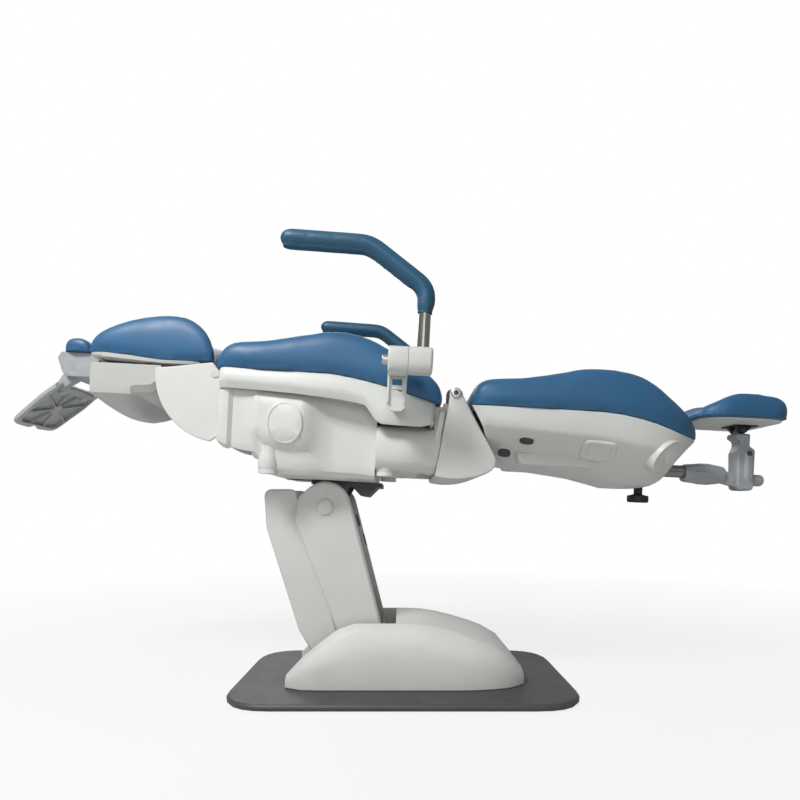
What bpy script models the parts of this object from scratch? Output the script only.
"""Examination chair on a parallelogram lift.

It has a reclining back, a folding leg rest and footplate, swing-away armrests and a jointed headrest.

Metres, +Z up, +X towards the head end, -Y the side nearest the photograph's camera.
The origin lies on the floor under the middle of the base plate.
Everything above the lift is drawn in seat axes (u along the chair, w up), which tip by SEAT_TILT.
"""

import math

import bmesh
import bpy
from mathutils import Matrix

# Clearances
FIT = 0.0003
RUN = 0.0015
HOLE = 0.0004

# Seat axes: they start at the upper lift pivot
SEAT_TILT = math.radians(3.0)
LIFT_PIVOT_X = -0.212
LIFT_PIVOT_Z = 0.500

# Lift
LIFT_LENGTH = 0.385
LIFT_LEAN = math.radians(16.0)
LINK_OFFSET_X = -0.095
LINK_OFFSET_Z = -0.040
ARM_HALF_WIDTH = 0.105
ARM_WALL = 0.007
ARM_TOP_RADIUS = 0.070
ARM_LOW_RADIUS = 0.058
ARM_SHIFT = 0.022
ARM_SHOULDER = 0.042
ARM_SHOULDER_RISE = 0.021
ARM_SHOULDER_RADIUS = 0.033
LINK_HALF_WIDTH = 0.091
LINK_WALL = 0.006
LINK_TOP_RADIUS = 0.050
LINK_TOP_CORNER = 0.020
LINK_PIN_END = 0.0885
LINK_LOW_RADIUS = 0.038
LIFT_PIN_RADIUS = 0.014
LINK_PIN_RADIUS = 0.011
CAP_RADIUS = 0.0225
CAP_HEIGHT = 0.008

# Base
BASE_LENGTH = 0.92
BASE_WIDTH = 0.56
BASE_THICK = 0.018
BASE_CORNER = 0.13
BASE_EDGE = 0.006
COVER_HALF_WIDTH = 0.172
COVER_FRONT = -0.315
COVER_BACK = 0.330
COVER_TOP = 0.186
COVER_WALL = 0.006
BRACKET_THICK = 0.012
FOOT_RADIUS = 0.016

# Seat
SEAT_HALF_WIDTH = 0.250
TRAY_HALF_WIDTH = 0.240
TRAY_WALL = 0.005
HOUSING_WALL = 0.005
HOUSING_FLOOR = 0.074
SEAT_FRONT = -0.278
SEAT_BACK = 0.302
SEAT_DISH = 0.034
DECK_LOW = 0.2435
DECK_TOP = 0.2535

# Leg rest
LEG_PIVOT_U = -0.285
LEG_PIVOT_W = 0.328
LEG_HALF_WIDTH = 0.197
LEG_SHELL_HALF = 0.193
LEG_WALL = 0.004
CHEEK_INNER = 0.200
CHEEK_THICK = 0.008
CHEEK_RADIUS = 0.172
LEG_PIN_RADIUS = 0.008
LEG_DISH = 0.018
LEG_BOW = 0.055

# Foot section
FOOT_PIVOT_U = -0.750
FOOT_PIVOT_W = 0.297
FOOT_ANGLE = math.radians(221.0)
FOOT_LENGTH = 0.165
FOOT_HALF_WIDTH = 0.104
FOOT_THICK = 0.005
FOOT_RIM = 0.015
FOOT_RIB = 0.004
FOOT_RIBS = 8
FOOT_HUB = 0.017
FOOT_PIN_RADIUS = 0.005
END_HALF_WIDTH = 0.125

# Back rest
BACK_PIVOT_U = 0.333
BACK_PIVOT_W = 0.311
BACK_HALF_WIDTH = 0.250
BACK_SHELL_HALF = 0.236
BACK_FRONT = 0.3710
BACK_WALL = 0.005
BACK_DISH = 0.036
BACK_PIN_RADIUS = 0.008
FAN_RADIUS = 0.222
FAN_HALF_WIDTH = 0.197
FAN_WALL = 0.006
FAN_BOSS = 0.016
FAN_FROM = -101.5
FAN_TO = -55.0
SECTOR_RADIUS = 0.2135
SECTOR_HALF_WIDTH = 0.184
SECTOR_WALL = 0.005
NOSE_RADIUS = 0.206
NOSE_HALF_WIDTH = 0.170
NOSE_FRONT_HALF = 0.203
HINGE_IN = 0.149
HINGE_THICK = 0.010

# Headrest
ROD_RADIUS = 0.018
ROD_W = 0.156
ROD_START = 0.722
ROD_END = 1.044
GUIDE_START = 0.800
GUIDE_END = 0.912
GUIDE_WALL = 0.007
YOKE_START = 1.0175
YOKE_END = 1.136
YOKE_RADIUS = 0.031
KNOB_U = 0.891
KNOB_RADIUS = 0.0295
SCREW_RADIUS = 0.006
LOW_PIVOT_U = 1.1818
LOW_PIVOT_W = 0.1335
TOP_PIVOT_U = 1.174
TOP_PIVOT_W = 0.2835
TONGUE_HALF = 0.012
HEAD_LINK_HALF = 0.027
LINK_TOP_R = 0.0085
HEAD_CHEEK = 0.0105
HEAD_PIN_RADIUS = 0.006
HEAD_HALF_WIDTH = 0.140
HEAD_SEAM = TOP_PIVOT_W + 0.0185
HEAD_PLATE = TOP_PIVOT_W + 0.0120
BUTTON_RADIUS = 0.0170
BUTTON_W = LOW_PIVOT_W + 0.0079

# Armrests
ARM_Y = 0.340
ARM_SHAFT_W = 0.352
ARM_SHAFT_RADIUS = 0.007
ARM_BLOCK_HALF = 0.030
ARM_PAD_RADIUS = 0.025
POST_RADIUS = 0.0145
POST_U = 0.239
POST_FOOT = ARM_SHAFT_W + 0.030
POST_TOP = POST_FOOT + 0.133
BRACKET_FOOT_W = 0.240
BRACKET_BOSS_W = 0.262
BRACKET_BOSS_RADIUS = 0.015

for old in list(bpy.data.objects):
    bpy.data.objects.remove(old, do_unlink=True)
PARTS = bpy.data.collections.new("examination_chair")
CUTTERS = bpy.data.collections.new("cutters")
CUTTERS.hide_render = True
bpy.context.scene.collection.children.link(PARTS)
bpy.context.scene.collection.children.link(CUTTERS)


# Axes


def pivot(name, at, parent=None, turn=0.0):
    """An empty on a joint's axis, in its parent's axes, turned about Y."""
    empty = bpy.data.objects.new(name, None)
    PARTS.objects.link(empty)
    empty.empty_display_size = 0.03
    empty.location = at
    empty.rotation_euler = (0.0, turn, 0.0)
    empty.parent = parent
    return empty


LOW_X = LIFT_PIVOT_X + LIFT_LENGTH * math.sin(LIFT_LEAN)
LOW_Z = LIFT_PIVOT_Z - LIFT_LENGTH * math.cos(LIFT_LEAN)
ARM_AXES = pivot("axes_lift_arm", (LOW_X, 0, LOW_Z), None, -LIFT_LEAN)
LINK_AXES = pivot("axes_lift_link", (LOW_X + LINK_OFFSET_X, 0, LOW_Z + LINK_OFFSET_Z), None, -LIFT_LEAN)
SEAT_AXES = pivot("axes_seat", (LIFT_PIVOT_X, 0, LIFT_PIVOT_Z), None, SEAT_TILT)
LEG_AXES = pivot("axes_leg", (LEG_PIVOT_U, 0, LEG_PIVOT_W), SEAT_AXES)
FOOT_AXES = pivot("axes_foot", (FOOT_PIVOT_U, 0, FOOT_PIVOT_W), SEAT_AXES)
BACK_AXES = pivot("axes_back", (BACK_PIVOT_U, 0, BACK_PIVOT_W), SEAT_AXES)
ROD_AXES = pivot("axes_rod", (ROD_START, 0, ROD_W), SEAT_AXES)
HEAD_LINK_AXES = pivot("axes_head_link", (LOW_PIVOT_U, 0, LOW_PIVOT_W), SEAT_AXES)
HEAD_AXES = pivot("axes_head", (TOP_PIVOT_U, 0, TOP_PIVOT_W), SEAT_AXES)
BUTTON_AXES = pivot("axes_button", (LOW_PIVOT_U, 0, BUTTON_W), SEAT_AXES)
KNOB_AXES = pivot("axes_knob", (KNOB_U, 0, ROD_W), SEAT_AXES)
ARMREST_AXES = {
    "near": pivot("axes_armrest_near", (POST_U, -ARM_Y, ARM_SHAFT_W), SEAT_AXES),
    "far": pivot("axes_armrest_far", (POST_U, ARM_Y, ARM_SHAFT_W), SEAT_AXES),
}


# Materials and objects


def material(name, colour, metallic, roughness):
    made = bpy.data.materials.new(name)
    made.use_nodes = True
    shader = made.node_tree.nodes["Principled BSDF"]
    shader.inputs["Base Color"].default_value = (*colour, 1)
    shader.inputs["Metallic"].default_value = metallic
    shader.inputs["Roughness"].default_value = roughness
    return made


SHELL = ((0.72, 0.71, 0.68), 0.0, 0.4)
VINYL = ((0.06, 0.17, 0.33), 0.0, 0.45)
GREY = ((0.34, 0.35, 0.36), 0.0, 0.4)
DARK = ((0.03, 0.03, 0.03), 0.0, 0.5)
STEEL = ((0.62, 0.62, 0.62), 1.0, 0.3)
FRAME = ((0.12, 0.12, 0.13), 0.0, 0.5)
BOARD = ((0.45, 0.33, 0.2), 0.0, 0.6)


def keep(obj, look, axes=None):
    """Makes a node of an object drawn in seat axes, or in the axes it belongs to."""
    PARTS.objects.link(obj)
    obj.data.materials.clear()
    obj.data.materials.append(material(obj.name, *look))
    if obj.type == "MESH":
        obj.data.shade_smooth()
        obj.data.set_sharp_from_angle(angle=math.radians(35))
    hang(obj, axes)
    return obj


def hang(obj, axes):
    obj.parent = axes
    if axes is not None and axes.parent is SEAT_AXES:
        obj.location = -axes.location


def cut(target, cutter, operation="DIFFERENCE"):
    """Adds a Boolean and puts the cutter away beside its target."""
    if not cutter.users_collection:
        CUTTERS.objects.link(cutter)
    cutter.hide_render = True
    cutter.display_type = "WIRE"
    hang(cutter, target.parent)
    change = target.modifiers.new(cutter.name, "BOOLEAN")
    change.operation = operation
    change.solver = "EXACT"
    change.object = cutter
    return target


def join(target, piece):
    return cut(target, piece, "UNION")


def round_edges(obj, width, segments=1, angle=40):
    bevel = obj.modifiers.new("edges", "BEVEL")
    bevel.width = width
    bevel.segments = segments
    bevel.limit_method = "ANGLE"
    bevel.angle_limit = math.radians(angle)
    return obj


# Shapes


def tidy(mesh, flat=False):
    work = bmesh.new()
    work.from_mesh(mesh)
    bmesh.ops.remove_doubles(work, verts=work.verts, dist=1e-6)
    if flat:
        bmesh.ops.dissolve_limit(work, angle_limit=math.radians(1), verts=work.verts, edges=work.edges)
    bmesh.ops.recalc_face_normals(work, faces=work.faces)
    work.to_mesh(mesh)
    work.free()
    return mesh


def meshed(name, curve, flat=False):
    """The mesh of a curve, with its seams closed."""
    carrier = bpy.data.objects.new(name + "_curve", curve)
    mesh = bpy.data.meshes.new_from_object(carrier)
    bpy.data.objects.remove(carrier)
    mesh.name = name
    return tidy(mesh, flat)


def prism(name, outline, near, far):
    """A flat outline of (x, z) points, run along Y from near to far."""
    curve = bpy.data.curves.new(name, "CURVE")
    curve.dimensions = "2D"
    curve.fill_mode = "BOTH"
    curve.extrude = (far - near) / 2
    spline = curve.splines.new("POLY")
    spline.points.add(len(outline) - 1)
    for point, (x, z) in zip(spline.points, outline):
        point.co = (x, z, 0, 1)
    spline.use_cyclic_u = True
    mesh = meshed(name, curve, True)
    mesh.transform(Matrix.Translation((0, (near + far) / 2, 0)) @ Matrix.Rotation(math.pi / 2, 4, "X"))
    return bpy.data.objects.new(name, mesh)


def box(name, x0, x1, y0, y1, z0, z1):
    mesh = bpy.data.meshes.new(name)
    work = bmesh.new()
    bmesh.ops.create_cube(work, size=1)
    scale = Matrix.Diagonal((x1 - x0, y1 - y0, z1 - z0, 1))
    work.transform(Matrix.Translation(((x0 + x1) / 2, (y0 + y1) / 2, (z0 + z1) / 2)) @ scale)
    work.to_mesh(mesh)
    work.free()
    return bpy.data.objects.new(name, mesh)


TURN_TO = {
    "X": Matrix.Rotation(math.pi / 2, 4, "Y"),
    "Y": Matrix.Rotation(-math.pi / 2, 4, "X"),
    "Z": Matrix.Identity(4),
}


def rod(name, axis, radius, start, end, centre, sides=18):
    """A round bar along an axis, between two places on it. Centre is where the other two axes stand."""
    mesh = bpy.data.meshes.new(name)
    work = bmesh.new()
    bmesh.ops.create_cone(
        work, cap_ends=True, segments=sides, radius1=radius, radius2=radius, depth=end - start
    )
    place = list(centre)
    place.insert("XYZ".index(axis), (start + end) / 2)
    work.transform(Matrix.Translation(place) @ TURN_TO[axis])
    work.to_mesh(mesh)
    work.free()
    return bpy.data.objects.new(name, mesh)


def turned(name, axis, profile, centre, sides=24):
    """A profile of (radius, along) points from the far end of the axis to its start, turned round it."""
    mesh = bpy.data.meshes.new(name)
    points = [(radius, 0, along) for radius, along in profile]
    mesh.from_pydata(points, [(i, i + 1) for i in range(len(points) - 1)], [])
    carrier = bpy.data.objects.new(name + "_profile", mesh)
    CUTTERS.objects.link(carrier)
    screw = carrier.modifiers.new("turn", "SCREW")
    screw.axis = "Z"
    screw.steps = sides
    screw.render_steps = sides
    screw.use_merge_vertices = True
    screw.merge_threshold = 0.00005
    solid = bpy.data.meshes.new_from_object(
        carrier.evaluated_get(bpy.context.evaluated_depsgraph_get())
    )
    bpy.data.objects.remove(carrier)
    solid.name = name
    tidy(solid)
    place = list(centre)
    place.insert("XYZ".index(axis), 0)
    solid.transform(Matrix.Translation(place) @ TURN_TO[axis])
    return bpy.data.objects.new(name, solid)


def arc(cx, cz, radius, start, end, steps):
    """Points of an arc between two angles in degrees, both ends included."""
    angles = [math.radians(start + (end - start) * i / steps) for i in range(steps + 1)]
    return [(cx + radius * math.cos(a), cz + radius * math.sin(a)) for a in angles]


def hull(circles, steps=18):
    """The outline stretched round a set of (x, z, radius) circles."""
    points = sorted(
        {(round(x, 7), round(z, 7)) for cx, cz, r in circles for x, z in arc(cx, cz, r, 0, 360, steps)}
    )

    def half(run):
        chain = []
        for point in run:
            while len(chain) > 1:
                (ax, az), (bx, bz) = chain[-2:]
                if (bx - ax) * (point[1] - az) - (bz - az) * (point[0] - ax) > 1e-12:
                    break
                chain.pop()
            chain.append(point)
        return chain[:-1]

    return half(points) + half(points[::-1])


def rounded(corners, steps=3):
    """A polygon of (x, z, radius) corners with each corner filleted."""
    outline = []
    count = len(corners)
    for i, (x, z, radius) in enumerate(corners):
        px, pz, _ = corners[i - 1]
        nx, nz, _ = corners[(i + 1) % count]
        if radius <= 0:
            outline.append((x, z))
            continue
        ax, az = px - x, pz - z
        bx, bz = nx - x, nz - z
        la, lb = math.hypot(ax, az), math.hypot(bx, bz)
        ax, az, bx, bz = ax / la, az / la, bx / lb, bz / lb
        bend = math.acos(max(-1, min(1, ax * bx + az * bz)))
        reach = min(radius / math.tan(bend / 2), 0.49 * la, 0.49 * lb)
        start = (x + ax * reach, z + az * reach)
        stop = (x + bx * reach, z + bz * reach)
        for k in range(steps + 1):
            t = k / steps
            sx = (1 - t) ** 2 * start[0] + 2 * t * (1 - t) * x + t * t * stop[0]
            sz = (1 - t) ** 2 * start[1] + 2 * t * (1 - t) * z + t * t * stop[1]
            outline.append((sx, sz))
    return outline


def through(points):
    """A smooth value through (place, value) points that doesn't overshoot them."""
    xs = [p[0] for p in points]
    ys = [p[1] for p in points]
    steps = [(ys[i + 1] - ys[i]) / (xs[i + 1] - xs[i]) for i in range(len(xs) - 1)]
    slopes = [steps[0]]
    slopes += [0 if a * b <= 0 else 2 * a * b / (a + b) for a, b in zip(steps, steps[1:])]
    slopes += [steps[-1]]

    def value(x):
        if x <= xs[0]:
            return ys[0]
        if x >= xs[-1]:
            return ys[-1]
        i = max(k for k in range(len(xs) - 1) if xs[k] <= x)
        h = xs[i + 1] - xs[i]
        t = (x - xs[i]) / h
        start = ys[i] * (1 + 2 * t) * (1 - t) ** 2 + slopes[i] * h * t * (1 - t) ** 2
        stop = ys[i + 1] * t * t * (3 - 2 * t) + slopes[i + 1] * h * t * t * (t - 1)
        return start + stop

    return value


def straight(curve, places):
    """The same curve, straight between given places, so that two lofts over those places meet."""

    def value(x):
        if x <= places[0]:
            return curve(places[0])
        if x >= places[-1]:
            return curve(places[-1])
        i = max(k for k in range(len(places) - 1) if places[k] <= x)
        t = (x - places[i]) / (places[i + 1] - places[i])
        return (1 - t) * curve(places[i]) + t * curve(places[i + 1])

    return value


def spread(start, end, count):
    return [start + (end - start) * i / count for i in range(count + 1)]


def loft(name, places, section):
    """A closed skin through mirrored cross sections, each from its lowest middle to its highest."""
    work = bmesh.new()
    loops = []
    for u in places:
        half = section(u)
        ring = half + [(-y, w) for y, w in half[-2:0:-1]]
        loops.append([work.verts.new((u, y, w)) for y, w in ring])
    for a, b in zip(loops, loops[1:]):
        for i in range(len(a)):
            j = (i + 1) % len(a)
            work.faces.new((a[i], a[j], b[j], b[i]))
    work.faces.new(loops[0][::-1])
    work.faces.new(loops[-1])
    bmesh.ops.recalc_face_normals(work, faces=work.faces)
    mesh = bpy.data.meshes.new(name)
    work.to_mesh(mesh)
    work.free()
    return bpy.data.objects.new(name, mesh)


def cushion(name, places, top, seam, half_width, dish):
    """A pad on a flat board: drawn-in sides, a rolled edge and a dished middle."""
    side = [
        (0.93, 0.0), (0.985, 0.05), (1.0, 0.20), (0.999, 0.52), (0.985, 0.76), (0.945, 0.93),
        (0.88, 1.0),
    ]
    crown = [(0.75, 0.11), (0.54, 0.47), (0.27, 0.86), (0.0, 1.0)]

    def section(u):
        low = seam(u)
        high = top(u)
        wide = half_width(u)
        deep = dish(u)
        half = [(0.0, low)]
        half += [(wide * a, low + (high - low) * b) for a, b in side]
        half += [(wide * a, high - deep * b) for a, b in crown]
        return half

    return loft(name, places, section)


# Base

QUARTERS = ((1, 1), (-1, 1), (-1, -1), (1, -1))
base_corners = [(sx * BASE_LENGTH / 2, sy * BASE_WIDTH / 2, BASE_CORNER) for sx, sy in QUARTERS]
base_plate = prism("base_plate", rounded(base_corners, 6), 0, BASE_THICK)
base_plate.data.transform(Matrix.Rotation(math.pi / 2, 4, "X"))
round_edges(base_plate, BASE_EDGE, 1, 60)
keep(base_plate, GREY)

cover_top = through(
    [
        (COVER_FRONT, 0.052), (-0.24, 0.122), (-0.13, COVER_TOP), (0.02, COVER_TOP),
        (0.20, 0.150), (0.30, 0.100), (COVER_BACK, 0.056),
    ]
)
cover_half = through(
    [
        (COVER_FRONT, 0.146), (-0.25, COVER_HALF_WIDTH), (0.16, COVER_HALF_WIDTH),
        (0.28, 0.150), (COVER_BACK, 0.110),
    ]
)
COVER_FLOOR = BASE_THICK + FIT


def cover_section(u, inset=0.0, drop=0.0):
    wide = cover_half(u) - inset
    high = cover_top(u) - inset
    low = COVER_FLOOR - drop
    rise = high - low
    return [
        (0, low),
        (wide, low),
        (wide, low + 0.45 * rise),
        (wide - 0.006, low + 0.70 * rise),
        (wide - 0.020, low + 0.90 * rise),
        (wide - 0.042, high),
        (0, high),
    ]


base_cover = loft("base_cover", spread(COVER_FRONT, COVER_BACK, 14), cover_section)
keep(base_cover, SHELL)
ARM_SLOT = ARM_HALF_WIDTH + BRACKET_THICK + 3 * RUN
slot_back = LOW_X + ARM_LOW_RADIUS + 0.028
cut(base_cover, box("cover_slot", COVER_FRONT - 0.1, slot_back, -ARM_SLOT, ARM_SLOT, -0.1, 0.4))
hollow = loft(
    "cover_hollow",
    spread(slot_back + COVER_WALL, COVER_BACK - 0.050, 6),
    lambda u: cover_section(u, COVER_WALL, 0.05),
)
cut(base_cover, hollow)

BRACKET_IN = ARM_HALF_WIDTH + RUN
LINK_LOW_X = LOW_X + LINK_OFFSET_X
LINK_LOW_Z = LOW_Z + LINK_OFFSET_Z
PIN_REACH = BRACKET_IN + BRACKET_THICK
BRACKET_FLOOR = BASE_THICK + FIT
BRACKET_FRONT = LINK_LOW_X - 0.045
BRACKET_BACK = LOW_X + 0.060
bracket_side = hull(
    [
        (LOW_X, LOW_Z, 0.034),
        (LINK_LOW_X, LINK_LOW_Z, 0.028),
        (BRACKET_BACK, BRACKET_FLOOR + 0.006, 0.006),
        (BRACKET_FRONT, BRACKET_FLOOR + 0.006, 0.006),
    ],
    16,
)
base_bracket = box(
    "base_bracket",
    BRACKET_FRONT,
    BRACKET_BACK,
    -PIN_REACH,
    PIN_REACH,
    BRACKET_FLOOR,
    BRACKET_FLOOR + 0.010,
)
keep(base_bracket, FRAME)
for side, sign in (("near", -1), ("far", 1)):
    ends = sorted((sign * BRACKET_IN, sign * PIN_REACH))
    join(base_bracket, prism("bracket_plate_" + side, bracket_side, *ends))
cut(base_bracket, rod("bracket_hole", "Y", LIFT_PIN_RADIUS + HOLE, -0.2, 0.2, (LOW_X, LOW_Z)))
cut(
    base_bracket,
    rod("bracket_link_hole", "Y", LINK_PIN_RADIUS + HOLE, -0.2, 0.2, (LINK_LOW_X, LINK_LOW_Z)),
)

keep(rod("lower_pin", "Y", LIFT_PIN_RADIUS, -PIN_REACH, PIN_REACH, (LOW_X, LOW_Z)), STEEL)
keep(
    rod("lower_link_pin", "Y", LINK_PIN_RADIUS, -PIN_REACH, PIN_REACH, (LINK_LOW_X, LINK_LOW_Z)), STEEL
)

power_unit = keep(box("power_unit", 0.02, 0.21, -0.075, 0.075, BASE_THICK + FIT, 0.118), DARK)
round_edges(power_unit, 0.008)
join(power_unit, rod("power_motor", "X", 0.042, 0.12, 0.245, (0.0, 0.068), 24))


# Lift

arm_outline = hull(
    [
        (0, LIFT_LENGTH, ARM_TOP_RADIUS),
        (-ARM_SHIFT, LIFT_LENGTH - ARM_SHIFT, ARM_TOP_RADIUS),
        (-ARM_SHOULDER, LIFT_LENGTH + ARM_SHOULDER_RISE, ARM_SHOULDER_RADIUS),
        (0, 0, ARM_LOW_RADIUS),
    ],
    28,
)
lift_arm = prism("lift_arm", arm_outline, -ARM_HALF_WIDTH, ARM_HALF_WIDTH)
round_edges(lift_arm, 0.006, 1, 50)
keep(lift_arm, SHELL, ARM_AXES)
inside = hull(
    [
        (0, LIFT_LENGTH - 0.045, ARM_TOP_RADIUS - ARM_WALL),
        (-0.02, LIFT_LENGTH + 0.2, 0.2),
        (-0.3, LIFT_LENGTH + 0.2, 0.1),
        (0, 0, ARM_LOW_RADIUS - ARM_WALL),
        (-0.3, -0.05, 0.05),
    ],
    28,
)
cut(lift_arm, prism("arm_inside", inside, ARM_WALL - ARM_HALF_WIDTH, ARM_HALF_WIDTH - ARM_WALL))
for name, along in (("arm_low_hole", 0), ("arm_top_hole", LIFT_LENGTH)):
    cut(lift_arm, rod(name, "Y", LIFT_PIN_RADIUS + HOLE, -0.2, 0.2, (0, along)))

link_outline = hull(
    [
        (-0.022, LIFT_LENGTH - 0.002, LINK_TOP_RADIUS),
        (-0.034, LIFT_LENGTH + 0.082, LINK_TOP_CORNER),
        (0.015, LIFT_LENGTH + 0.068, LINK_TOP_CORNER),
        (0, LIFT_LENGTH, LINK_TOP_RADIUS - 0.012),
        (-0.018, 0.1, 0.046),
        (0, 0, LINK_LOW_RADIUS),
    ],
    24,
)
lift_link = prism("lift_link", link_outline, -LINK_HALF_WIDTH, LINK_HALF_WIDTH)
round_edges(lift_link, 0.005, 1, 50)
keep(lift_link, SHELL, LINK_AXES)
inside = hull(
    [
        (-0.022, LIFT_LENGTH - 0.06, LINK_TOP_RADIUS - LINK_WALL),
        (-0.018, 0.1, 0.046 - LINK_WALL),
        (0.0, LIFT_LENGTH + 0.2, 0.19),
        (0.3, LIFT_LENGTH + 0.2, 0.1),
        (0, 0, LINK_LOW_RADIUS - LINK_WALL),
        (0.3, -0.05, 0.05),
    ],
    24,
)
cut(lift_link, prism("link_inside", inside, LINK_WALL - LINK_HALF_WIDTH, LINK_HALF_WIDTH - LINK_WALL))
for name, along in (("link_low_hole", 0), ("link_top_hole", LIFT_LENGTH)):
    reach = LINK_PIN_END + FIT if along else 0.2
    cut(lift_link, rod(name, "Y", LINK_PIN_RADIUS + HOLE, -reach, reach, (0, along)))

head = [
    (0.6 * CAP_RADIUS, 0.9 * CAP_HEIGHT),
    (0.9 * CAP_RADIUS, 0.62 * CAP_HEIGHT),
    (CAP_RADIUS, 0.2 * CAP_HEIGHT),
    (CAP_RADIUS, 0),
    (LIFT_PIN_RADIUS, 0),
]
CAP_AT = ARM_HALF_WIDTH + FIT
pin = [(0, CAP_AT + CAP_HEIGHT)]
pin += [(radius, CAP_AT + along) for radius, along in head]
pin += [(radius, -CAP_AT - along) for radius, along in head[::-1]]
pin += [(0, -CAP_AT - CAP_HEIGHT)]
keep(turned("upper_pin", "Y", pin, (0, LIFT_LENGTH)), GREY, ARM_AXES)

LINK_TOP_U = LINK_OFFSET_X * math.cos(SEAT_TILT) - LINK_OFFSET_Z * math.sin(SEAT_TILT)
LINK_TOP_W = LINK_OFFSET_X * math.sin(SEAT_TILT) + LINK_OFFSET_Z * math.cos(SEAT_TILT)
EAR_OUT = LINK_HALF_WIDTH - LINK_WALL - RUN
EAR_THICK = 0.016
CARRIAGE_TOP = HOUSING_FLOOR - FIT
carriage = keep(
    box(
        "carriage", -0.045, 0.150, 0.002 - EAR_OUT, EAR_OUT - 0.002, CARRIAGE_TOP - 0.012, CARRIAGE_TOP
    ),
    FRAME,
    SEAT_AXES,
)
ear = hull(
    [(0, 0, 0.028), (-0.036, CARRIAGE_TOP - 0.008, 0.004), (0.060, CARRIAGE_TOP - 0.008, 0.004)], 24
)
ear_reach = hull([(0, 0, 0.026), (LINK_TOP_U, LINK_TOP_W, 0.022)], 24)
for side, sign in (("near", -1), ("far", 1)):
    ends = sorted((sign * (EAR_OUT - EAR_THICK), sign * EAR_OUT))
    join(carriage, prism("ear_" + side, ear, *ends))
    join(carriage, prism("ear_reach_" + side, ear_reach, ends[0] + 0.0005, ends[1] - 0.0005))
brace = rounded(
    [
        (0.058, CARRIAGE_TOP - 0.004, 0), (0.145, CARRIAGE_TOP - 0.004, 0),
        (0.112, 0.034, 0.006), (0.092, 0.036, 0.006),
    ]
)
join(carriage, prism("carriage_brace", brace, -0.072, 0.072))
cut(carriage, rod("carriage_hole", "Y", LIFT_PIN_RADIUS + HOLE, -0.2, 0.2, (0, 0)))
cut(
    carriage,
    rod("carriage_link_hole", "Y", LINK_PIN_RADIUS + 2 * HOLE, -0.2, 0.2, (LINK_TOP_U, LINK_TOP_W)),
)
keep(
    rod(
        "upper_link_pin",
        "Y",
        LINK_PIN_RADIUS,
        -LINK_PIN_END,
        LINK_PIN_END,
        (0, LIFT_LENGTH),
    ),
    STEEL,
    LINK_AXES,
)


# Seat

seat_top = through(
    [
        (SEAT_FRONT, 0.356),
        (-0.270, 0.376),
        (-0.261, 0.396),
        (-0.242, 0.410),
        (-0.192, 0.415),
        (-0.142, 0.418),
        (-0.108, 0.424),
        (-0.068, 0.438),
        (-0.029, 0.446),
        (0.006, 0.449),
        (0.044, 0.449),
        (0.081, 0.444),
        (0.104, 0.438),
        (0.156, 0.413),
        (0.212, 0.381),
        (0.267, 0.350),
        (0.290, 0.330),
        (SEAT_BACK, 0.296),
    ]
)
SEAT_STEPS = [-0.240, -0.160, -0.080, 0.0, 0.040, 0.080, 0.120, 0.160, 0.205, 0.245, 0.271]
seat_seam = through(
    [
        (SEAT_FRONT, 0.341), (-0.218, 0.339), (-0.123, 0.336), (-0.026, 0.338),
        (0.037, 0.333), (0.103, 0.322), (0.161, 0.309), (0.217, 0.293), (0.270, 0.281),
        (SEAT_BACK, 0.278),
    ]
)
seat_seam = straight(seat_seam, SEAT_STEPS)
seat_half = through(
    [
        (SEAT_FRONT, 0.226), (-0.262, 0.238), (-0.235, 0.247), (-0.18, SEAT_HALF_WIDTH),
        (0.2, SEAT_HALF_WIDTH), (0.27, 0.243), (0.292, 0.232), (SEAT_BACK, 0.218),
    ]
)
seat_dish = through(
    [
        (SEAT_FRONT, 0.0), (-0.23, 0.010), (-0.05, SEAT_DISH), (0.12, 0.030), (0.24, 0.010),
        (SEAT_BACK, 0.0),
    ]
)
seat_places = [SEAT_FRONT, -0.268, -0.258] + SEAT_STEPS + [0.292, SEAT_BACK]
keep(cushion("seat_cushion", seat_places, seat_top, seat_seam, seat_half, seat_dish), VINYL, SEAT_AXES)

TRAY_FRONT = -0.270
TRAY_BACK = 0.281
tray_low = through(
    [
        (TRAY_FRONT, 0.284), (-0.213, 0.283), (-0.120, 0.280), (0.008, 0.271),
        (0.104, 0.257), (0.128, 0.224), (0.146, 0.2125), (0.200, 0.2105), (0.255, 0.2110),
        (TRAY_BACK, 0.226),
    ]
)
tray_half = through(
    [
        (TRAY_FRONT, 0.224), (-0.264, 0.234), (-0.248, TRAY_HALF_WIDTH),
        (0.20, TRAY_HALF_WIDTH), (0.25, 0.235), (0.272, 0.222), (TRAY_BACK, 0.204),
    ]
)


def tray_top(u):
    return seat_seam(u) - FIT


def tray_section(u):
    wide, low, high = tray_half(u), tray_low(u), tray_top(u)
    return [
        (0, low),
        (wide - 0.022, low),
        (wide - 0.007, low + 0.005),
        (wide, low + 0.018),
        (wide + 0.003, 0.5 * (low + high)),
        (wide - 0.001, high - 0.007),
        (wide - 0.007, high),
        (0, high),
    ]


def tray_inside(u):
    wide, low, high = tray_half(u) - TRAY_WALL, tray_low(u) - 0.08, tray_top(u) - TRAY_WALL
    return [(0, low), (wide - 0.004, low), (wide - 0.004, high - 0.02), (wide - 0.012, high), (0, high)]


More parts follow.
